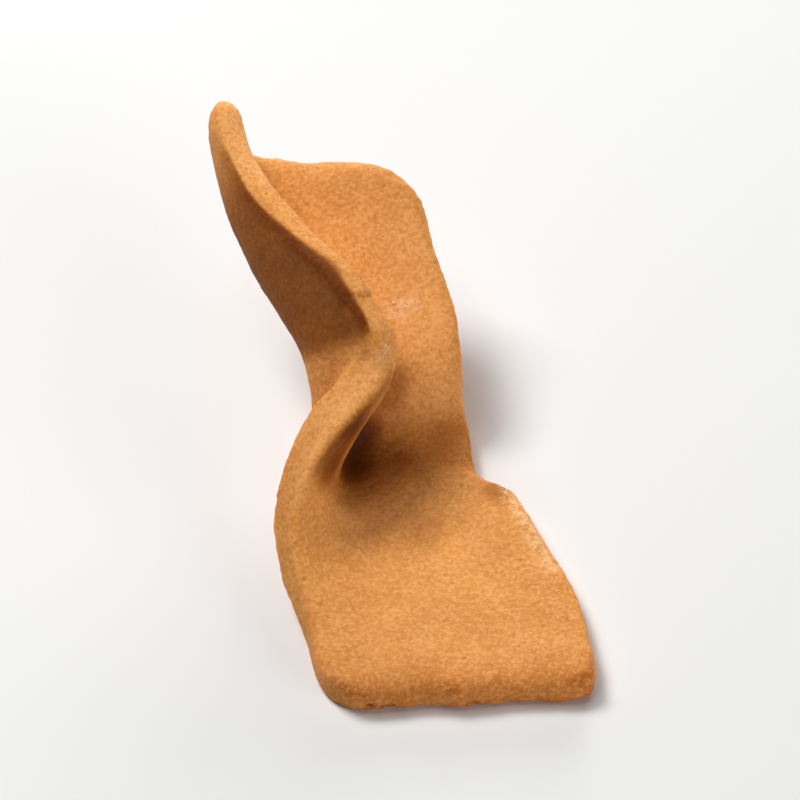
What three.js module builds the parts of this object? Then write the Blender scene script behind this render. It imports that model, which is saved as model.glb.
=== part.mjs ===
// Karinto: a strip of sweet wheat dough, pinched at its middle so that one long edge folds over
// and the far half climbs, then deep-fried stiff.
// Millimetres, +Z up. Y runs along the strip from the near end to the far end, and the folded
// edge is on the -X side. The near half lies flat on the surface.

import * as THREE from 'three';
import { ImprovedNoise } from 'three/addons/math/ImprovedNoise.js';

// The flat strip
const LENGTH = 82.7;
const WIDTH = 35.9;
const THICKNESS = 4.8;
const CORNER_RADIUS = { nearRight: 3.5, nearLeft: 6.5, farRight: 8.0, farLeft: 4.5 };

// The cut edges: how far in from each one the rounding reaches, and how blunt it is (2 is a half round)
const RIM = {
  near: { inset: 2.2, bluntness: 2.4 },
  far: { inset: 3.4, bluntness: 2.0 },
  right: { inset: 1.8, bluntness: 2.6 },
  left: { inset: 1.4, bluntness: 3.0 },
  tip: { inset: 2.8, bluntness: 2.0 },
};
// The left edge softens into the tip beyond this share of the length
const TIP_SHARE = 0.7;

// The spine is the line, this far from the right edge, that every cross-section hangs on
const SPINE_LINE = 10.7;

// The pinch: its place on the spine, and how far it is felt towards each end
const WAIST = 49.5;
const PINCH_REACH_NEAR = 20.5;
const PINCH_REACH_FAR = 17.5;

// Behind the flat near half the spine rises in a steep step to a gentler shelf, then climbs again
const RISE_START = 39;
const RISE_LENGTH = 9;
const SHELF_BLEND = 13;
const CLIMB_ANGLE = { rise: 60, shelf: 24, far: 36 };

// Cross-sections, at the near end, the waist and the far end. Angles are in degrees.
const FOLD_ANGLE = { near: 2, waist: 122, far: 92 };
const FOLD_START = { near: 20.7, waist: 13.1, far: 17.6 };
const FOLD_ARC = { near: 15.4, waist: 11.4, far: 15 };
const LEAN = { near: 6.0, waist: 12.0, far: -6.5 };
const TURN = { near: -2.8, waist: -7.0, far: 6.9 };
const SIDE_SHIFT = { near: 8.2, waist: -2.7, far: -5.4 };
const SKEW = { near: 0.12, far: 0.04 };
const END_SHARE = 0.1;

// The nick in the right edge, where the pinch has pulled the far half in
const NICK_PLACE = 34.8;
const NICK_SHOULDER = { out: 1.5, fade: 3 };
const NICK_HOLLOW = { in: 3.0, fade: 5 };
const NICK_STEP = 1.2;

// The pinched lip: its place and reach along the strip, how much wider it stands, how much thicker it
// is on its outer side, and where that starts and ends from the right edge
const LIP = { place: 39, reach: 9, wider: 1.4, thicker: 1.5, start: 24, end: 32 };

// Unevenness of the fried dough: ragged outline, broad swells and small blisters. A layer is the
// slice of noise that a pattern is read from, and each edge of the strip has its own line in it.
const RAG = { depth: 0.6, size: 6.5, layer: 0.5 };
const CRUMB = { depth: 0.2, size: 2.9, layer: 7.5 };
const SWELL = { height: 0.45, size: 9.5, layer: 0 };
const BLISTER = { height: 0.2, size: 3.1, layer: 0.5 };
const EDGE_LINE = { right: 1.5, left: 3.5, near: 5.5, far: 9.5 };

// The soft underside settles flat: how deep it is pressed, and the height over which it smooths
const REST_DEPTH = 0.5;
const REST_BLEND = 1.2;

// Mesh density: cells between the rims, and rings in a rim
const CELLS_LONG = 60;
const CELLS_WIDE = 25;
const RIM_RINGS = 4;
const WAIST_CROWDING = 0.35;
const CURVE_STEPS = 28;
const NORMAL_STEP = 0.05;

const COLOUR = 0xe09a54;
const ROUGHNESS = 0.75;

const noise = new ImprovedNoise();
const radians = THREE.MathUtils.degToRad;
const lerp = THREE.MathUtils.lerp;
const clamp = THREE.MathUtils.clamp;

function ease(x) {
  return THREE.MathUtils.smoothstep(x, 0, 1);
}

// A station value at the distance s along the strip: the ends blend into each other, and the
// waist's value takes over across the pinch.
function atStation(value, s) {
  const ends = lerp(value.near, value.far, ease((s / LENGTH - END_SHARE) / (1 - 2 * END_SHARE)));
  const reach = s > WAIST ? PINCH_REACH_FAR : PINCH_REACH_NEAR;
  const pinch = Math.exp(-(((s - WAIST) / reach) ** 2));
  return lerp(ends, value.waist, pinch);
}

// The direction of the cross-section at w from the right edge, as an angle above the panel
function sectionHeading(s, w) {
  const turned = ease((w - atStation(FOLD_START, s)) / atStation(FOLD_ARC, s));
  return radians(atStation(FOLD_ANGLE, s)) * turned;
}

// The cross-section's point at w, measured from the spine: across to the left, and up
function sectionPoint(s, w) {
  const step = (w - SPINE_LINE) / CURVE_STEPS;
  let across = 0;
  let up = 0;
  for (let k = 0; k < CURVE_STEPS; k += 1) {
    const heading = sectionHeading(s, SPINE_LINE + step * (k + 0.5));
    across += step * Math.cos(heading);
    up += step * Math.sin(heading);
  }
  return { across, up };
}

// The spine's slope at s: flat, steep at the step, gentler on the shelf, then climbing again
function spineHeading(s) {
  const riseEnd = RISE_START + RISE_LENGTH;
  const shelfStart = riseEnd + SHELF_BLEND;
  const rise = CLIMB_ANGLE.rise * ease((s - RISE_START) / RISE_LENGTH);
  const settle = (CLIMB_ANGLE.shelf - CLIMB_ANGLE.rise) * ease((s - riseEnd) / SHELF_BLEND);
  const climb = (CLIMB_ANGLE.far - CLIMB_ANGLE.shelf) * ease((s - shelfStart) / (LENGTH - shelfStart));
  return radians(rise + settle + climb);
}

// The spine's point at s, along the strip and up
function spinePoint(s) {
  let along = Math.min(s, RISE_START);
  let up = 0;
  const step = Math.max(s - RISE_START, 0) / CURVE_STEPS;
  for (let k = 0; k < CURVE_STEPS; k += 1) {
    const heading = spineHeading(RISE_START + step * (k + 0.5));
    along += step * Math.cos(heading);
    up += step * Math.sin(heading);
  }
  return { along, up };
}

// The middle of the dough at s along the strip and w from its right edge
function middlePoint(s, w) {
  const skewed = s + lerp(SKEW.near, SKEW.far, s / LENGTH) * (w - WIDTH / 2);
  const spine = spinePoint(skewed);
  const section = sectionPoint(skewed, w);
  const lean = radians(atStation(LEAN, skewed));
  const turn = radians(atStation(TURN, skewed));
  return new THREE.Vector3(
    atStation(SIDE_SHIFT, skewed) - section.across * Math.cos(turn),
    spine.along + section.across * Math.sin(turn) - section.up * Math.sin(lean),
    spine.up + section.up * Math.cos(lean),
  );
}

// The upward normal of the dough's middle
function middleNormal(s, w) {
  const along = middlePoint(s + NORMAL_STEP, w).sub(middlePoint(s - NORMAL_STEP, w));
  const across = middlePoint(s, w + NORMAL_STEP).sub(middlePoint(s, w - NORMAL_STEP));
  return along.cross(across).normalize();
}

// How far the cut outline stands in at a place along one edge. It fades out at the corners.
function raggedInset(along, span, edge) {
  const broad = RAG.depth * noise.noise(along / RAG.size, edge, RAG.layer);
  const fine = CRUMB.depth * noise.noise(along / CRUMB.size, edge, CRUMB.layer);
  return (broad + fine) * ease(Math.min(along, span - along) / RAG.size);
}

// How far a rounded corner pulls the outline in, at a distance from the strip's end
function cornerInset(fromEnd, radius) {
  const reach = clamp(radius - fromEnd, 0, radius);
  return radius - Math.sqrt(radius ** 2 - reach ** 2);
}

// How far the nick pulls the right edge in: a shoulder that stands out, a step, then a hollow
function nickInset(s) {
  const past = s - NICK_PLACE;
  const shoulder = -NICK_SHOULDER.out * Math.exp(Math.min(past, 0) / NICK_SHOULDER.fade);
  const hollow = NICK_HOLLOW.in * Math.exp(-Math.max(past, 0) / NICK_HOLLOW.fade);
  return lerp(shoulder, hollow, ease(past / NICK_STEP + 0.5));
}

// How much of the pinched lip's shape is felt at s
function lipShare(s) {
  return Math.exp(-(((s - LIP.place) / LIP.reach) ** 2));
}

// The strip's width limits at s
function widthLimits(s) {
  const fromFar = LENGTH - s;
  const right = cornerInset(s, CORNER_RADIUS.nearRight) + cornerInset(fromFar, CORNER_RADIUS.farRight);
  const left = cornerInset(s, CORNER_RADIUS.nearLeft) + cornerInset(fromFar, CORNER_RADIUS.farLeft);
  return {
    low: right + nickInset(s) + raggedInset(s, LENGTH, EDGE_LINE.right),
    high: WIDTH + LIP.wider * lipShare(s) - left - raggedInset(s, LENGTH, EDGE_LINE.left),
  };
}

// The strip's length limits at w
function lengthLimits(w) {
  return {
    low: raggedInset(w, WIDTH, EDGE_LINE.near),
    high: LENGTH - raggedInset(w, WIDTH, EDGE_LINE.far),
  };
}

// The rings of a cut edge, from its outline inwards: the inset, and the part of the full thickness
// that is reached there
function rimRings({ inset, bluntness }) {
  const rings = [];
  for (let k = 0; k < RIM_RINGS; k += 1) {
    const angle = (Math.PI / 2) * (k / RIM_RINGS);
    rings.push({
      inset: inset * (1 - Math.cos(angle) ** (2 / bluntness)),
      swell: Math.sin(angle) ** (2 / bluntness),
    });
  }
  return rings;
}

// One grid line between two cut edges. Each point has the share of the way across, its insets from
// the low and the high edge, and the part of the full thickness reached there.
function gridLine(cells, lowRim, highRim) {
  const line = rimRings(lowRim).map(({ inset, swell }) => ({ share: 0, low: inset, high: 0, swell }));
  for (let k = 0; k <= cells; k += 1) {
    line.push({ share: k / cells, low: lowRim.inset, high: highRim.inset, swell: 1 });
  }
  rimRings(highRim).reverse().forEach(({ inset, swell }) => {
    line.push({ share: 1, low: 0, high: inset, swell });
  });
  return line;
}

// The left edge's rounding at a share of the length
function leftRim(share) {
  const soft = ease((share - TIP_SHARE) / (1 - TIP_SHARE));
  return {
    inset: lerp(RIM.left.inset, RIM.tip.inset, soft),
    bluntness: lerp(RIM.left.bluntness, RIM.tip.bluntness, soft),
  };
}

// The place of a grid line's point between two limits
function placeBetween(limits, point) {
  return lerp(limits.low + point.low, limits.high - point.high, point.share);
}

// Rows crowd together at the waist, where the strip bends most
function crowdRows(line) {
  const turn = 2 * Math.PI;
  const centre = WAIST / LENGTH;
  const shift = Math.sin(turn * centre);
  return line.map((point) => {
    const wave = Math.sin(turn * (point.share - centre)) + shift;
    return { ...point, share: point.share - (WAIST_CROWDING * wave) / turn };
  });
}

// How much thicker the underside of the pinched lip is
function lipSwell(s, w) {
  return LIP.thicker * lipShare(s) * ease((w - LIP.start) / (LIP.end - LIP.start));
}

// Swells and blisters of the fried surface at a point in space
function relief(point) {
  const bump = ({ height, size, layer }) => {
    const { x, y, z } = point;
    return height * noise.noise(x / size, y / size, z / size + layer);
  };
  return bump(SWELL) + bump(BLISTER);
}

// One point of the skin. The side is 1 on the upper face, -1 on the underside and 0 on the edge.
function skinPoint(s, w, swell, side) {
  const middle = middlePoint(s, w);
  const normal = middleNormal(s, w);
  const half = (THICKNESS / 2 + (side < 0 ? lipSwell(s, w) : 0)) * swell * side;
  const point = middle.clone().addScaledVector(normal, half);
  point.z += THICKNESS / 2 - REST_DEPTH;
  const offSurface = ease(point.z / REST_BLEND);
  point.addScaledVector(normal, relief(point) * swell * side * offSurface);
  point.z = Math.max(point.z, 0);
  return point;
}

// The closed skin: an upper and a lower grid that share their outer edge
function doughGeometry() {
  const rows = crowdRows(gridLine(CELLS_LONG, RIM.near, RIM.far));
  const positions = [];
  const upper = [];
  const lower = [];
  rows.forEach((row, i) => {
    upper.push([]);
    lower.push([]);
    const columns = gridLine(CELLS_WIDE, RIM.right, leftRim(row.share));
    columns.forEach((column) => {
      const s = placeBetween(lengthLimits(WIDTH * column.share), row);
      const w = placeBetween(widthLimits(s), column);
      const swell = row.swell * column.swell;
      const addPoint = (side) => {
        positions.push(...skinPoint(s, w, swell, side).toArray());
        return positions.length / 3 - 1;
      };
      const top = addPoint(swell > 0 ? 1 : 0);
      upper[i].push(top);
      lower[i].push(swell > 0 ? addPoint(-1) : top);
    });
  });

  const triangles = [];
  const addCell = (a, b, c, d, flip) => {
    triangles.push(...(flip ? [a, b, d, b, c, d] : [a, b, c, a, c, d]));
  };
  for (let i = 0; i + 1 < rows.length; i += 1) {
    for (let j = 0; j + 1 < upper[i].length; j += 1) {
      // The diagonal of a cell points at the nearest corner, so no corner cell folds shut
      const nearHalf = i < rows.length / 2;
      const leftHalf = j >= upper[i].length / 2;
      const flip = nearHalf === leftHalf;
      addCell(upper[i][j], upper[i + 1][j], upper[i + 1][j + 1], upper[i][j + 1], flip);
      addCell(lower[i][j], lower[i][j + 1], lower[i + 1][j + 1], lower[i + 1][j], flip);
    }
  }

  const geometry = new THREE.BufferGeometry();
  geometry.setAttribute('position', new THREE.Float32BufferAttribute(positions, 3));
  geometry.setIndex(triangles);
  geometry.computeBoundingBox();
  const centre = geometry.boundingBox.getCenter(new THREE.Vector3());
  geometry.translate(-centre.x, -centre.y, -geometry.boundingBox.min.z);
  geometry.computeVertexNormals();
  return geometry;
}

const crust = new THREE.MeshStandardMaterial({ color: COLOUR, roughness: ROUGHNESS, metalness: 0 });
const karinto = new THREE.Mesh(doughGeometry(), crust);
karinto.name = 'karinto';

const part = new THREE.Group();
part.add(karinto);

export default part;
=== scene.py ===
"""Dresses the karinto's solid as fried dough: fine crumb, browned rims and a little sugar."""
import math

import bmesh
import bpy
import numpy as np
from mathutils import Euler, Matrix, Vector, noise


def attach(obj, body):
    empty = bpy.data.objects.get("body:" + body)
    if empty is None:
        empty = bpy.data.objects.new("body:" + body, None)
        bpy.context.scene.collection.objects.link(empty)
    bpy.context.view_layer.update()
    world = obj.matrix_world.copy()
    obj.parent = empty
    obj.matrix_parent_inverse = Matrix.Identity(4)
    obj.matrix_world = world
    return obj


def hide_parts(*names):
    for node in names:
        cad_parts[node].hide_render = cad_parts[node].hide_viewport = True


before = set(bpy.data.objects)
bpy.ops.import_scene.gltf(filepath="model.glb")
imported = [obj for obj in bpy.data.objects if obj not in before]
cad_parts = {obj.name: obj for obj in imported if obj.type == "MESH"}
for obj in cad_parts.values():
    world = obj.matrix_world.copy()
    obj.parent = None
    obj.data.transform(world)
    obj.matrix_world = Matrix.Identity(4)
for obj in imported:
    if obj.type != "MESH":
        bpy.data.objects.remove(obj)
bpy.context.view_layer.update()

# The crust's solid and body, the crystals' seed, and a millimetre in metres
NODE = "karinto"
BODY = "root"
SEED = 7
MM = 0.001

# Camera: the photo's side and height in degrees, sizes in metres, and the sensor in millimetres
AZIMUTH = -7.4
ELEVATION = 48.7
DISTANCE = 0.8
PICTURE_SIDE = 0.106
PICTURE_SHIFT = (0.0, 0.0115)
SENSOR_WIDTH = 36.0

# Colours are shown as they are lit
COLOURS_SHOWN = "Standard"

# Lights: height and side in degrees, clockwise from +Y seen from above, sizes in metres, power in watts
LIGHT_DISTANCE = 0.8
LIGHT_TARGET = (0.0, 0.0, 0.015)
LIGHTS = {
    "key": {"height": 55, "side": 315, "size": 0.3, "power": 5.5},
    "top": {"height": 75, "side": 270, "size": 0.3, "power": 1.3},
    "back": {"height": 12, "side": 18, "size": 0.45, "power": 4.8},
    "front": {"height": 12, "side": 135, "size": 0.45, "power": 3.5},
}

# A dim white surround
SURROUND_STRENGTH = 0.02
SURROUND_WHITE = (1.0, 1.0, 1.0)

# Fine mesh of the crust, in millimetres and degrees
MERGE = 0.001
QUAD_BEND = 40.0
QUAD_SHAPE = 80.0
ROUND_LEVELS = 2
VOXEL = 0.305
SMOOTH_FACTOR = 0.5
SMOOTH_STEPS = 4

# Share of its own value that a vertex keeps in each step of averaging
KEPT = 0.5

# Rims: steps of the averaging that finds them, and how far a rim stands out of it, in millimetres
RIM_STEPS = 120
RIM_RANGE = (0.18, 0.62)

# The line that the strip's upper face looks towards: x, its height, and its climb from a y
INSIDE = {"x": 5.0, "height": 12.0, "climb": 0.85, "from": 8.0}

# Underside and upper face, by how far they look away from that line
UNDER_STEPS = 4
UNDER_RANGE = (0.48, 0.62)
UPPER_RANGE = (0.5, -0.1)

# The flap's outer face is darkened with painted shade right up to its edge: where it lies, and where the
# shade pales towards the tip
FLAP = {"x": (-1.0, -4.0), "rise": 0.6, "height": (18.0, 21.5), "pale": (35.5, 24.0)}

# The pinched lip is rounder than the rest: a line along it, the reach, and how far it is rounded
LIP = {"start": (-2.5, 2.6, 20.5), "end": (-12.5, -7.5, 15.5), "reach": 5.0, "strength": 0.9}
LIP_STEPS = 60

# Relief of the crust: the size of its features and how far they stand out, in millimetres
UNEVEN = {"size": 5.0, "height": 0.11, "shift": 6.1}
CRUMB = {"size": 1.4, "height": 0.05, "shift": 11.3}
GRAIN = {"size": 0.72, "height": 0.06, "shift": 4.7}
PORE = {"size": 1.9, "width": 0.34, "depth": 0.12, "share": 0.22, "shift": 8.9}
CRAG = {"size": 1.7, "height": 0.25, "shift": 21.7, "elsewhere": 0.5}
CRUST_EDGE = {"size": 0.85, "height": 0.12, "shift": 14.9}

# Turns a cell's middle into a number from 0 to 1 that looks random
CELL_MIX = (12.9898, 78.233, 37.719)
CELL_SCALE = 43758.5453

# Chips in the near end's lower edge: place, radius and depth, in millimetres, and their ragged edge
CHIPS = [
    {"place": (-9.1, -38.4, 0.9), "radius": 1.3, "depth": 1.0},
    {"place": (-6.6, -38.5, 0.6), "radius": 1.6, "depth": 0.7},
    {"place": (4.5, -38.9, 0.5), "radius": 1.4, "depth": 0.5},
]
CHIP_WAVE = {"size": 1.1, "height": 0.8, "shift": 17.3}

# The ledge across the folded edge: place, way down, drop, reach, soft end and wall, in millimetres
LEDGE = {"place": (-2.9, 10.3, 27.6), "down": (0.12, -0.91, -0.41), "drop": 0.35, "fade": 5.0}
LEDGE_REACH = 4.5
LEDGE_BLEND = 0.35
LEDGE_WALL = 0.7
LEDGE_WAVE = {"size": 1.6, "height": 0.25, "shift": 3.3}

# Painted shade where shade falls in the crease, the pocket, under the lip, at the ledge and along lower
# edges: lines on the crust and the shade's reach, in millimetres, and its strength
PAINTED_SHADE_LINES = {
    "crease": {"start": (-5.0, 2.6, 4.6), "end": (12.0, 2.4, 4.3), "reach": 4.3, "strength": 0.18},
    "pocket": {"start": (-5.2, 4.8, 6.2), "end": (-7.3, 0.4, 5.0), "reach": 3.2, "strength": 0.58},
    "lip above": {"start": (-2.0, 0.9, 20.2), "end": (-7.4, -4.2, 18.6), "reach": 2.0, "strength": 0.22},
    "lip": {"start": (-7.4, -4.2, 18.6), "end": (-9.9, -7.2, 14.5), "reach": 3.2, "strength": 0.36},
    "lip below": {"start": (-9.9, -7.2, 13.4), "end": (-8.2, -4.2, 5.4), "reach": 3.0, "strength": 0.14},
    "inner wall": {"start": (-7.0, 0.5, 9.0), "end": (-8.0, -3.0, 16.0), "reach": 5.5, "strength": 0.20},
    "crease right": {"start": (7.6, 3.6, 4.4), "end": (9.4, 2.0, 4.2), "reach": 3.4, "strength": 0.10},
    "waist": {"start": (2.0, -6.0, 4.3), "end": (9.0, -5.0, 4.3), "reach": 7.0, "strength": 0.035},
    "dimple": {"start": (1.1, -14.2, 4.3), "end": (2.2, -11.0, 4.2), "reach": 2.4, "strength": 0.06},
    "near corner": {"start": (-12.0, -35.0, 4.3), "end": (-3.0, -36.5, 4.3), "reach": 4.0, "strength": 0.06},
    "gap": {"start": (-0.4, 7.4, 9.4), "end": (0.6, 9.0, 11.4), "reach": 2.0, "strength": 0.19},
    "near end": {"start": (-12.0, -38.4, 0.4), "end": (15.0, -38.8, 0.4), "reach": 1.6, "strength": 0.14},
    "shoulder": {"start": (11.8, -6.2, 4.4), "end": (13.0, -5.2, 4.2), "reach": 1.8, "strength": 0.16},
    "ledge": {"start": (-4.0, 11.3, 28.2), "end": (-2.9, 10.9, 27.9), "reach": 1.7, "strength": 0.13},
}

# How soon a mark ends beyond its line's reach, as a power of the distance
LINE_FALL = 3

# Painted shade on the underside, with some browning: its bottom, the flap's outer face, the flap's tip, and
# a painted shadow (the brow) below the flap's edge
UNDER_SHADE_AND_BROWNING = {"bottom": 0.06, "flap": 0.43, "tip": 0.06, "brow": 0.34, "brow_steps": 40}

# Painted shade in small hollows: pores, chips, the ledge's wall, and gaps in the crumb
SMALL_SHADE = {"pore": 0.15, "chip": 0.30, "wall": 0.06, "gap": 0.05}

# The near end is browned from here to here, as y in millimetres, and its face by a share of that
BROWNED_END = (-32.0, -38.0)
END_FACE = 0.55

# Painted light and highlight, partly thin sugar: paler lines on the crust, as above
PAINTED_LIGHT_AND_SUGAR = {
    "upper panel": {"start": (6.0, 9.0, 9.5), "end": (5.5, 24.0, 19.5), "reach": 6.0, "strength": 0.30},
    "riser": {"start": (6.5, 8.0, 8.4), "end": (5.5, 11.0, 11.5), "reach": 3.2, "strength": 0.42},
    "below pocket": {"start": (-7.0, -8.0, 4.7), "end": (-2.5, -8.4, 4.2), "reach": 3.2, "strength": 0.45},
    "lip": {"start": (-3.0, 2.6, 22.1), "end": (-11.0, -4.2, 18.8), "reach": 1.6, "strength": 0.75},
    "left rim": {"start": (-11.0, -4.2, 18.8), "end": (-15.9, -11.5, 12.5), "reach": 1.6, "strength": 0.55},
    "tip": {"start": (-17.6, 36.5, 35.6), "end": (-15.5, 30.0, 33.0), "reach": 3.5, "strength": 0.85},
}

# Dried sugar: lines on the crust, how far it spreads from them and how many crystals lie there
SUGAR = [
    {"start": (13.2, -5.6, 4.2), "end": (17.2, -20.3, 4.4), "reach": 0.9, "count": 30},
    {"start": (1.6, 16.4, 16.5), "end": (3.6, 17.4, 16.9), "reach": 1.5, "count": 10},
    {"start": (-1.6, 4.3, 23.1), "end": (-1.9, 3.6, 21.8), "reach": 0.5, "count": 8},
]

# Sugar crystals: size and bevel in millimetres, stretch, how far out they sit, and how they gather
CRYSTAL_SIZE = (0.10, 0.24)
CRYSTAL_STRETCH = (0.7, 1.2)
CRYSTAL_MIDDLE = 0.25
CRYSTAL_BEVEL = 0.03
CRYSTAL_GATHER = 2

# Colours of the dough, linear
PALE = (0.770, 0.330, 0.086)
GOLDEN = (0.690, 0.277, 0.064)
SPECK_COLOURS = {"pale": (0.900, 0.470, 0.180), "dark": (0.500, 0.165, 0.020)}
RIM_ORANGE = (0.660, 0.205, 0.026)
END_ORANGE = (0.440, 0.095, 0.005)
# Darkest colour of the painted shade and browning
DARKEST_SHADE_AND_BROWN = (0.100, 0.043, 0.008)
# Paler colour of the painted light and thin sugar
LIGHT_AND_THIN_SUGAR = (0.950, 0.440, 0.142)
SUGAR_WHITE = (0.92, 0.60, 0.32)
CRYSTAL_WHITE = (0.94, 0.74, 0.50)

# Steps of the painted shade and browning that the colour runs through
SHADE_AND_BROWN_STEPS = 6

# Patches of the crust: their size in millimetres, the noise's range, and what it becomes
MOTTLE = {"size": 6.0, "detail": 3.0, "range": (0.35, 0.65), "becomes": (0.0, 1.0)}
RIM_PATCHES = {"size": 1.6, "detail": 3.0, "range": (0.3, 0.65), "becomes": (0.1, 0.5)}
END_PATCHES = {"size": 2.2, "detail": 3.0, "range": (0.3, 0.65), "becomes": (0.7, 1.0)}
FROST = {"size": 0.9, "detail": 2.0, "rough": 0.6, "range": (0.42, 0.62), "becomes": (0.0, 0.7)}
DULLNESS = {"size": 1.2, "detail": 2.0, "range": (0.3, 0.7), "becomes": (0.6, 0.8)}
SUGAR_CLOUD = {"size": 0.5, "detail": 2.0, "range": (0.35, 0.65), "becomes": (0.0, 1.0)}

# Specks and round grains of the crust: their size in millimetres, and where and how strongly they show
SPECKS = {"size": 0.48, "detail": 3.0, "rough": 0.6}
SPECKS_SHOWN = {
    "pale": {"range": (0.48, 0.85), "strength": 0.6},
    "dark": {"range": (0.52, 0.15), "strength": 0.6},
}
GRAINS = {"size": 0.37, "soft": 0.6}
GRAINS_SHOWN = {
    "pale": {"range": (0.5, 0.9), "strength": 0.32},
    "dark": {"range": (0.5, 0.1), "strength": 0.28},
}

# Grit that is finer than the mesh, in millimetres
GRIT = {"size": 0.3, "detail": 2.0, "rough": 0.6}
GRIT_STRENGTH = 0.45
GRIT_DEPTH = 0.07

# Gloss, and light that goes a little way into the crust and the sugar
CRUST_GLOSS = 0.12
CRUST_DEPTH = {"weight": 0.1, "radius": (1.0, 0.45, 0.18), "scale": 0.6}
SUGAR_DULLNESS = (0.45, 0.25)
SUGAR_DEPTH = {"weight": 0.4, "radius": (0.5, 0.4, 0.3), "scale": 0.4}

# Where a mix of two colours takes its share and the colours, and gives its result
MIX_SHARE = 0
MIX_FIRST = 6
MIX_SECOND = 7
MIX_RESULT = 2

# The floor: half its side in metres, colour, dullness and gloss
FLOOR_HALF = 3.0
FLOOR = (0.785, 0.785, 0.78)
FLOOR_DULLNESS = 0.6
FLOOR_GLOSS = 0.2


def step_between(low, high, values):
    """0 below low, 1 above high, and smooth in between."""
    share = np.clip((values - low) / (high - low), 0.0, 1.0)
    return share * share * (3.0 - 2.0 * share)


def object_from(data, name):
    """A new object in the scene with that mesh, camera or light."""
    made = bpy.data.objects.new(name, data)
    bpy.context.collection.objects.link(made)
    return made


def applied_mesh(thing, name):
    """The object's mesh with its modifiers applied. The object itself is removed."""
    graph = bpy.context.evaluated_depsgraph_get()
    mesh = bpy.data.meshes.new_from_object(thing.evaluated_get(graph))
    mesh.name = name
    bpy.data.objects.remove(thing)
    return mesh


def fine_mesh(node):
    """The solid's own form in small even quads."""
    copy = bmesh.new()
    copy.from_mesh(node.data)
    bmesh.ops.remove_doubles(copy, verts=copy.verts, dist=MERGE * MM)
    bmesh.ops.join_triangles(
        copy,
        faces=copy.faces,
        angle_face_threshold=math.radians(QUAD_BEND),
        angle_shape_threshold=math.radians(QUAD_SHAPE),
    )
    rough = bpy.data.meshes.new("rough")
    copy.to_mesh(rough)
    copy.free()
    thing = object_from(rough, "rough")
    rounded = thing.modifiers.new("rounded", "SUBSURF")
    rounded.levels = ROUND_LEVELS
    even = thing.modifiers.new("even", "REMESH")
    even.mode = "VOXEL"
    even.voxel_size = VOXEL * MM
    even.use_smooth_shade = True
    soft = thing.modifiers.new("soft", "SMOOTH")
    soft.factor = SMOOTH_FACTOR
    soft.iterations = SMOOTH_STEPS
    return applied_mesh(thing, NODE + "_crust")


def vertex_array(mesh, what):
    """A vector of each vertex, its place or its normal, as rows."""
    values = np.zeros(len(mesh.vertices) * 3, np.float32)
    mesh.vertices.foreach_get(what, values)
    return values.reshape(-1, 3).astype(float)


def edge_array(mesh):
    """The two ends of each edge, as rows."""
    ends = np.zeros(len(mesh.edges) * 2, np.int32)
    mesh.edges.foreach_get("vertices", ends)
    return ends.reshape(-1, 2)


def spread(values, ends, steps):
    """Each vertex's value averaged with its neighbours', several times."""
    count = len(values)
    degree = np.bincount(ends.ravel(), minlength=count)
    for _ in range(steps):
        columns = []
        for column in values.T:
            total = np.bincount(ends[:, 0], column[ends[:, 1]], count)
            total += np.bincount(ends[:, 1], column[ends[:, 0]], count)
            columns.append(KEPT * column + (1.0 - KEPT) * total / degree)
        values = np.stack(columns, axis=1)
    return values


def waves(points, layer):
    """Smooth noise with features of the layer's size, up to about its height to either side."""
    places = points / layer["size"] + layer["shift"]
    return layer["height"] * np.array([noise.noise(place) for place in places.tolist()])


def cells(points, size, shift):
    """For each point: the distance to its cell's middle, and a number from 0 to 1 of that cell."""
    nearest = [noise.voronoi(place) for place in (points / size + shift).tolist()]
    distance = np.array([found[0][0] for found in nearest])
    middle = np.array([tuple(found[1][0]) for found in nearest])
    number = np.abs(np.sin(middle @ np.array(CELL_MIX)) * CELL_SCALE) % 1.0
    return distance, number


def line_distance(points, start, end):
    """Each point's distance from the straight line between two places."""
    start = np.array(start)
    along = np.array(end) - start
    share = np.clip((points - start) @ along / (along @ along), 0.0, 1.0)
    return np.linalg.norm(points - start - share[:, None] * along, axis=1)


def sugar_cover(points, patch):
    """How thick the sugar of one patch lies at each point, from 0 to 1."""
    away = line_distance(points, patch["start"], patch["end"]) / patch["reach"]
    return np.exp(-(away ** 2))


def line_cover(points, line):
    """How strong a line's mark is at each point: even near the line, and soon gone beyond its reach."""
    away = line_distance(points, line["start"], line["end"]) / line["reach"]
    return line["strength"] * np.exp(-(away ** LINE_FALL))


def pores(points):
    """Small round holes that some cells of the crumb have, from 0 to 1."""
    distance, number = cells(points, PORE["size"], PORE["shift"])
    hole = np.clip(1.0 - (distance * PORE["size"] / PORE["width"]) ** 2, 0.0, 1.0)
    return hole * (number < PORE["share"])


def chips(points):
    """How deep the near end's edge is chipped at each point."""
    depth = np.zeros(len(points))
    ragged = waves(points, CHIP_WAVE)
    for chip in CHIPS:
        away = np.linalg.norm(points - chip["place"], axis=1) / chip["radius"] + ragged
        depth = np.maximum(depth, chip["depth"] * np.clip(1.0 - away, 0.0, 1.0))
    return depth


def ledge(points):
    """How far the folded edge drops below its ledge, and how near a point is to the ledge's wall."""
    offset = points - LEDGE["place"]
    below = offset @ np.array(LEDGE["down"]) + waves(points, LEDGE_WAVE)
    near = step_between(0.0, LEDGE_BLEND, 1.0 - np.linalg.norm(offset, axis=1) / LEDGE_REACH)
    drop = step_between(0.0, LEDGE_WALL, below) * np.exp(-np.maximum(below, 0.0) / LEDGE["fade"])
    wall = np.exp(-((below - LEDGE_WALL) / LEDGE_WALL) ** 2)
    return LEDGE["drop"] * drop * near, wall * near


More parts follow.
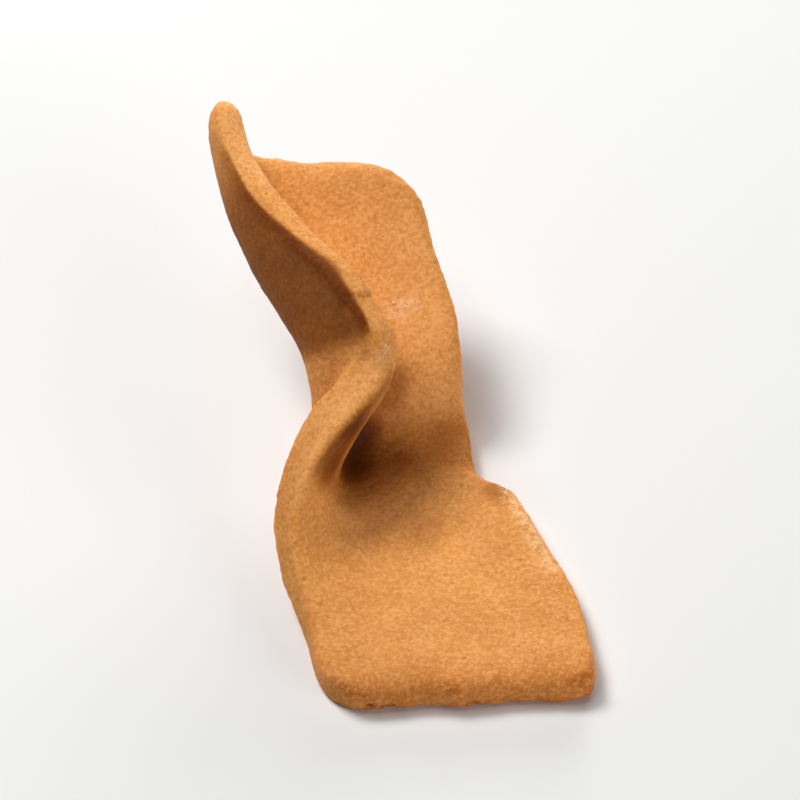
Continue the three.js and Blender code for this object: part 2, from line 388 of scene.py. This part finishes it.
def underside(points, normals):
    """How far each point looks away from the line inside the fold, from -1 to 1."""
    inside = np.zeros_like(points)
    inside[:, 0] = INSIDE["x"]
    inside[:, 1] = points[:, 1]
    inside[:, 2] = INSIDE["height"] + INSIDE["climb"] * np.maximum(points[:, 1] - INSIDE["from"], 0.0)
    way = inside - points
    way /= np.linalg.norm(way, axis=1)[:, None]
    return -np.sum(way * normals, axis=1)


def shade_lines(points):
    """How much painted shade lies along the lines, as a sum of their strengths."""
    return sum(line_cover(points, line) for line in PAINTED_SHADE_LINES.values())


def under_shade_and_browning(points, away, rim, ends):
    """How much painted shade, with some browning, lies on the underside: more on the flap's outer face, and
    most below its edge as a painted shadow.
    """
    height = points[:, 1] + FLAP["rise"] * points[:, 2]
    on_flap = step_between(*FLAP["x"], points[:, 0]) * step_between(*FLAP["height"], height)
    under = step_between(*UNDER_RANGE, away) * (1.0 - rim * (1.0 - on_flap))
    low = step_between(*FLAP["pale"], points[:, 1])
    edge = spread(rim[:, None], ends, UNDER_SHADE_AND_BROWNING["brow_steps"])[:, 0]
    brow = UNDER_SHADE_AND_BROWNING["brow"] * edge * np.sqrt(low)
    outer = UNDER_SHADE_AND_BROWNING["tip"] + (UNDER_SHADE_AND_BROWNING["flap"] - UNDER_SHADE_AND_BROWNING["tip"]) * low + brow
    return under * (UNDER_SHADE_AND_BROWNING["bottom"] + (outer - UNDER_SHADE_AND_BROWNING["bottom"]) * on_flap)


def relief(points, rim):
    """How far the crumb stands out of the smooth form at each point, in millimetres."""
    even = sum(waves(points, layer) for layer in (UNEVEN, CRUMB, GRAIN))
    at_end = step_between(*BROWNED_END, points[:, 1])
    crag = waves(points, CRAG) * np.maximum(at_end, CRAG["elsewhere"])
    return even + rim * (crag + waves(points, CRUST_EDGE))


def store(mesh, name, values):
    """A number for each vertex that the material can read."""
    layer = mesh.attributes.new(name, "FLOAT", "POINT")
    layer.data.foreach_set("value", values.astype(np.float32))


def place_vertices(mesh, points):
    """Moves the mesh's vertices to those places, in millimetres."""
    mesh.vertices.foreach_set("co", (points * MM).astype(np.float32).ravel())
    mesh.update()


def round_lip(mesh, ends):
    """Rounds the lip's edges as fingers press them."""
    points = vertex_array(mesh, "co") / MM
    share = line_cover(points, LIP)[:, None]
    place_vertices(mesh, points + share * (spread(points, ends, LIP_STEPS) - points))


def crust_piece(node):
    """The biscuit with its relief, and the marks that its material reads."""
    mesh = fine_mesh(node)
    ends = edge_array(mesh)
    round_lip(mesh, ends)
    points = vertex_array(mesh, "co") / MM
    normals = vertex_array(mesh, "normal")
    bulge = np.sum((points - spread(points, ends, RIM_STEPS)) * normals, axis=1)
    rim = step_between(*RIM_RANGE, bulge)
    away = underside(points, spread(normals, ends, UNDER_STEPS))
    pore = pores(points)
    chip = chips(points)
    drop, wall = ledge(points)
    fine = relief(points, rim)
    raised = fine - PORE["depth"] * pore - chip - drop
    gap = step_between(0.0, -CRAG["height"], fine)
    marks = {"pore": pore, "chip": chip, "wall": wall, "gap": gap}
    # Painted shade, with some browning, on the underside and the flap's outer face
    shade_and_browning = under_shade_and_browning(points, away, rim, ends)
    # Painted shade along lines in the folds and creases, on the upper face
    shade_and_browning += shade_lines(points) * step_between(*UPPER_RANGE, away)
    # Painted shade in small hollows
    shade_and_browning += sum(SMALL_SHADE[name] * mark for name, mark in marks.items())
    # Painted light, partly thin sugar, where the crust is paler
    light_and_sugar = np.max([line_cover(points, line) for line in PAINTED_LIGHT_AND_SUGAR.values()], axis=0)
    store(mesh, "rim", rim * (1.0 - light_and_sugar))
    store(mesh, "shade_and_browning", np.clip(shade_and_browning, 0.0, 1.0))
    store(mesh, "end", np.maximum(rim, END_FACE) * step_between(*BROWNED_END, points[:, 1]))
    store(mesh, "light_and_sugar", light_and_sugar)
    store(mesh, "sugar", np.max([sugar_cover(points, patch) for patch in SUGAR], axis=0))
    points = points + raised[:, None] * normals
    points[:, 2] = np.maximum(points[:, 2], 0.0)
    place_vertices(mesh, points)
    mesh.shade_smooth()
    return object_from(mesh, NODE + "_crust")


def sugar_piece(crust):
    """Crystals of dried sugar that sit a little sunk in the crust, joined in one mesh."""
    points = vertex_array(crust.data, "co") / MM
    normals = vertex_array(crust.data, "normal")
    draw = np.random.default_rng(SEED)
    shape = bmesh.new()
    for patch in SUGAR:
        cover = sugar_cover(points, patch) ** CRYSTAL_GATHER * (normals[:, 2] > 0.0)
        spots = draw.choice(len(points), patch["count"], replace=False, p=cover / cover.sum())
        for spot in spots:
            size = draw.uniform(*CRYSTAL_SIZE)
            turn = Euler(draw.uniform(0.0, math.tau, 3)).to_matrix().to_4x4()
            stretch = Matrix.Diagonal((*(size * draw.uniform(*CRYSTAL_STRETCH, 3)), 1.0))
            place = points[spot] + normals[spot] * size * CRYSTAL_MIDDLE
            matrix = Matrix.Scale(MM, 4) @ Matrix.Translation(place) @ turn @ stretch
            bmesh.ops.create_cube(shape, size=1.0, matrix=matrix)
    bmesh.ops.bevel(shape, geom=shape.edges, offset=CRYSTAL_BEVEL * MM, segments=1, affect="EDGES")
    mesh = bpy.data.meshes.new("sugar_crystals")
    shape.to_mesh(mesh)
    shape.free()
    return object_from(mesh, "sugar_crystals")


def add_node(tree, kind, inputs=None, **settings):
    """A node with its settings. An input is a value, or the output that feeds it."""
    made = tree.nodes.new(kind)
    for name, value in settings.items():
        setattr(made, name, value)
    for key, value in (inputs or {}).items():
        if isinstance(value, bpy.types.NodeSocket):
            tree.links.new(value, made.inputs[key])
        else:
            made.inputs[key].default_value = value
    return made


def noise_output(tree, place, look):
    """A noise texture with features of about the look's size."""
    inputs = {"Vector": place, "Scale": 1.0 / (look["size"] * MM), "Detail": look["detail"]}
    if "rough" in look:
        inputs["Roughness"] = look["rough"]
    return add_node(tree, "ShaderNodeTexNoise", inputs).outputs["Fac"]


def remap(tree, value, low, high, start, end):
    """The value's range from low to high moved to start to end."""
    inputs = {"Value": value, "From Min": low, "From Max": high, "To Min": start, "To Max": end}
    return add_node(tree, "ShaderNodeMapRange", inputs).outputs["Result"]


def patches(tree, place, look):
    """Noise of the look's size, moved from its range to what it becomes."""
    return remap(tree, noise_output(tree, place, look), *look["range"], *look["becomes"])


def multiply(tree, first, second):
    """The product of two values."""
    return add_node(tree, "ShaderNodeMath", {0: first, 1: second}, operation="MULTIPLY").outputs[0]


def opaque(colour):
    """A colour without holes: an output as it is, or three parts and a full cover."""
    if isinstance(colour, bpy.types.NodeSocket):
        return colour
    return (*colour, 1.0)


def mixed(tree, share, first, second, blend="MIX"):
    """The second colour over the first, by a share."""
    inputs = {MIX_SHARE: share, MIX_FIRST: opaque(first), MIX_SECOND: opaque(second)}
    node = add_node(tree, "ShaderNodeMix", inputs, data_type="RGBA", blend_type=blend)
    return node.outputs[MIX_RESULT]


def stored(tree, name):
    """A number that the mesh holds for each vertex."""
    return add_node(tree, "ShaderNodeAttribute", attribute_name=name).outputs["Fac"]


def patchy(tree, place, colour, name, look, over):
    """The colour with another over it in patches, where the mesh holds the named number."""
    share = multiply(tree, stored(tree, name), patches(tree, place, look))
    return mixed(tree, share, colour, over)


def speckled(tree, colour, value, shown):
    """The colour with pale and dark specks over it, by where a value lies in their ranges."""
    for tone, show in shown.items():
        share = remap(tree, value, *show["range"], 0.0, show["strength"])
        colour = mixed(tree, share, colour, SPECK_COLOURS[tone])
    return colour


def shade_and_browning_ramp(tree, share):
    """What is left of the dough's colour where painted shade and browning darken it by that share."""
    node = add_node(tree, "ShaderNodeValToRGB", {"Fac": share})
    stops = node.color_ramp.elements
    for number in range(1, SHADE_AND_BROWN_STEPS - 1):
        stops.new(number / (SHADE_AND_BROWN_STEPS - 1))
    for stop in stops:
        stop.color = opaque(part ** stop.position for part in DARKEST_SHADE_AND_BROWN)
    return node.outputs["Color"]


def grains(tree, place):
    """A number from 0 to 1 for each small round grain of the crust."""
    inputs = {"Vector": place, "Scale": 1.0 / (GRAINS["size"] * MM), "Smoothness": GRAINS["soft"]}
    node = add_node(tree, "ShaderNodeTexVoronoi", inputs, feature="SMOOTH_F1")
    return add_node(tree, "ShaderNodeSeparateColor", {"Color": node.outputs["Color"]}).outputs["Red"]


def light_depth(shader, depth):
    """Lets light go a little way into the surface."""
    shader.inputs["Subsurface Weight"].default_value = depth["weight"]
    shader.inputs["Subsurface Radius"].default_value = depth["radius"]
    shader.inputs["Subsurface Scale"].default_value = depth["scale"] * MM


def new_material(name):
    """A new material, its nodes and its shader."""
    material = bpy.data.materials.new(name)
    material.use_nodes = True
    tree = material.node_tree
    return material, tree, tree.nodes["Principled BSDF"]


def crust_material():
    """Fried dough: golden, mottled and grainy, deeper on its rims, with painted shade and some browning in
    its folds and underside, and painted light and thin sugar where it is paler.
    """
    material, tree, shader = new_material("crust")
    place = add_node(tree, "ShaderNodeTexCoord").outputs["Object"]

    colour = mixed(tree, patches(tree, place, MOTTLE), GOLDEN, PALE)
    # Painted light and thin sugar make the dough paler
    colour = mixed(tree, stored(tree, "light_and_sugar"), colour, LIGHT_AND_THIN_SUGAR)
    colour = patchy(tree, place, colour, "rim", RIM_PATCHES, RIM_ORANGE)
    colour = patchy(tree, place, colour, "end", END_PATCHES, END_ORANGE)
    colour = speckled(tree, colour, noise_output(tree, place, SPECKS), SPECKS_SHOWN)
    colour = speckled(tree, colour, grains(tree, place), GRAINS_SHOWN)
    # Painted shade and browning darken the dough
    colour = mixed(tree, 1.0, colour, shade_and_browning_ramp(tree, stored(tree, "shade_and_browning")), "MULTIPLY")
    colour = patchy(tree, place, colour, "sugar", FROST, SUGAR_WHITE)
    tree.links.new(colour, shader.inputs["Base Color"])
    tree.links.new(patches(tree, place, DULLNESS), shader.inputs["Roughness"])

    grit = noise_output(tree, place, GRIT)
    inputs = {"Height": grit, "Strength": GRIT_STRENGTH, "Distance": GRIT_DEPTH * MM}
    bump = add_node(tree, "ShaderNodeBump", inputs)
    tree.links.new(bump.outputs["Normal"], shader.inputs["Normal"])
    shader.inputs["Specular IOR Level"].default_value = CRUST_GLOSS
    light_depth(shader, CRUST_DEPTH)
    return material


def sugar_material():
    """Clouded sugar: off-white with a cream cast, and a little gloss."""
    material, tree, shader = new_material("sugar")
    place = add_node(tree, "ShaderNodeTexCoord").outputs["Object"]
    cloud = patches(tree, place, SUGAR_CLOUD)
    colour = mixed(tree, cloud, SUGAR_WHITE, CRYSTAL_WHITE)
    tree.links.new(colour, shader.inputs["Base Color"])
    tree.links.new(remap(tree, cloud, 0.0, 1.0, *SUGAR_DULLNESS), shader.inputs["Roughness"])
    light_depth(shader, SUGAR_DEPTH)
    return material


def floor_material():
    """A pale matte table top."""
    material, _, shader = new_material("table")
    shader.inputs["Base Color"].default_value = opaque(FLOOR)
    shader.inputs["Roughness"].default_value = FLOOR_DULLNESS
    shader.inputs["Specular IOR Level"].default_value = FLOOR_GLOSS
    return material


def floor():
    """A wide pale floor under the biscuit."""
    mesh = bpy.data.meshes.new("floor")
    half = FLOOR_HALF
    corners = [(-half, -half, 0.0), (half, -half, 0.0), (half, half, 0.0), (-half, half, 0.0)]
    mesh.from_pydata(corners, [], [(0, 1, 2, 3)])
    made = object_from(mesh, "floor")
    mesh.materials.append(floor_material())


def aim(thing, target):
    """Turns a camera or light towards a point."""
    thing.rotation_euler = (target - thing.location).to_track_quat("-Z", "Y").to_euler()


def camera():
    """A long lens at the photo's viewing angle."""
    turn = math.radians(AZIMUTH)
    rise = math.radians(ELEVATION)
    right = Vector((math.cos(turn), math.sin(turn), 0.0))
    back = Vector((math.sin(turn) * math.cos(rise), -math.cos(turn) * math.cos(rise), math.sin(rise)))
    target = right * PICTURE_SHIFT[0] + back.cross(right) * PICTURE_SHIFT[1]
    data = bpy.data.cameras.new("camera")
    data.sensor_fit = "HORIZONTAL"
    data.sensor_width = SENSOR_WIDTH
    data.lens = SENSOR_WIDTH * DISTANCE / PICTURE_SIDE
    made = object_from(data, "camera")
    made.location = target + back * DISTANCE
    aim(made, target)
    bpy.context.scene.camera = made


def area_light(name, place, target, size, power):
    """A soft square light."""
    data = bpy.data.lights.new(name, "AREA")
    data.size = size
    data.energy = power
    made = object_from(data, name)
    made.location = place
    aim(made, target)


def lights():
    """A key light behind on the left, one overhead, low ones behind and in front, and the surround."""
    middle = Vector(LIGHT_TARGET)
    for name, light in LIGHTS.items():
        rise = math.radians(light["height"])
        side = math.radians(light["side"])
        way = Vector((math.cos(rise) * math.sin(side), math.cos(rise) * math.cos(side), math.sin(rise)))
        area_light(name, middle + way * LIGHT_DISTANCE, middle, light["size"], light["power"])
    world = bpy.data.worlds.new("surround")
    world.use_nodes = True
    shader = world.node_tree.nodes["Background"]
    shader.inputs["Color"].default_value = opaque(SURROUND_WHITE)
    shader.inputs["Strength"].default_value = SURROUND_STRENGTH
    bpy.context.scene.world = world


def dress():
    """The biscuit in place of its plain solid, with its sugar."""
    crust = crust_piece(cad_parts[NODE])
    crust.data.materials.append(crust_material())
    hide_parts(NODE)
    sugar = sugar_piece(crust)
    sugar.data.materials.append(sugar_material())
    for piece in (crust, sugar):
        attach(piece, BODY)


bpy.context.scene.view_settings.view_transform = COLOURS_SHOWN
dress()
floor()
lights()
camera()
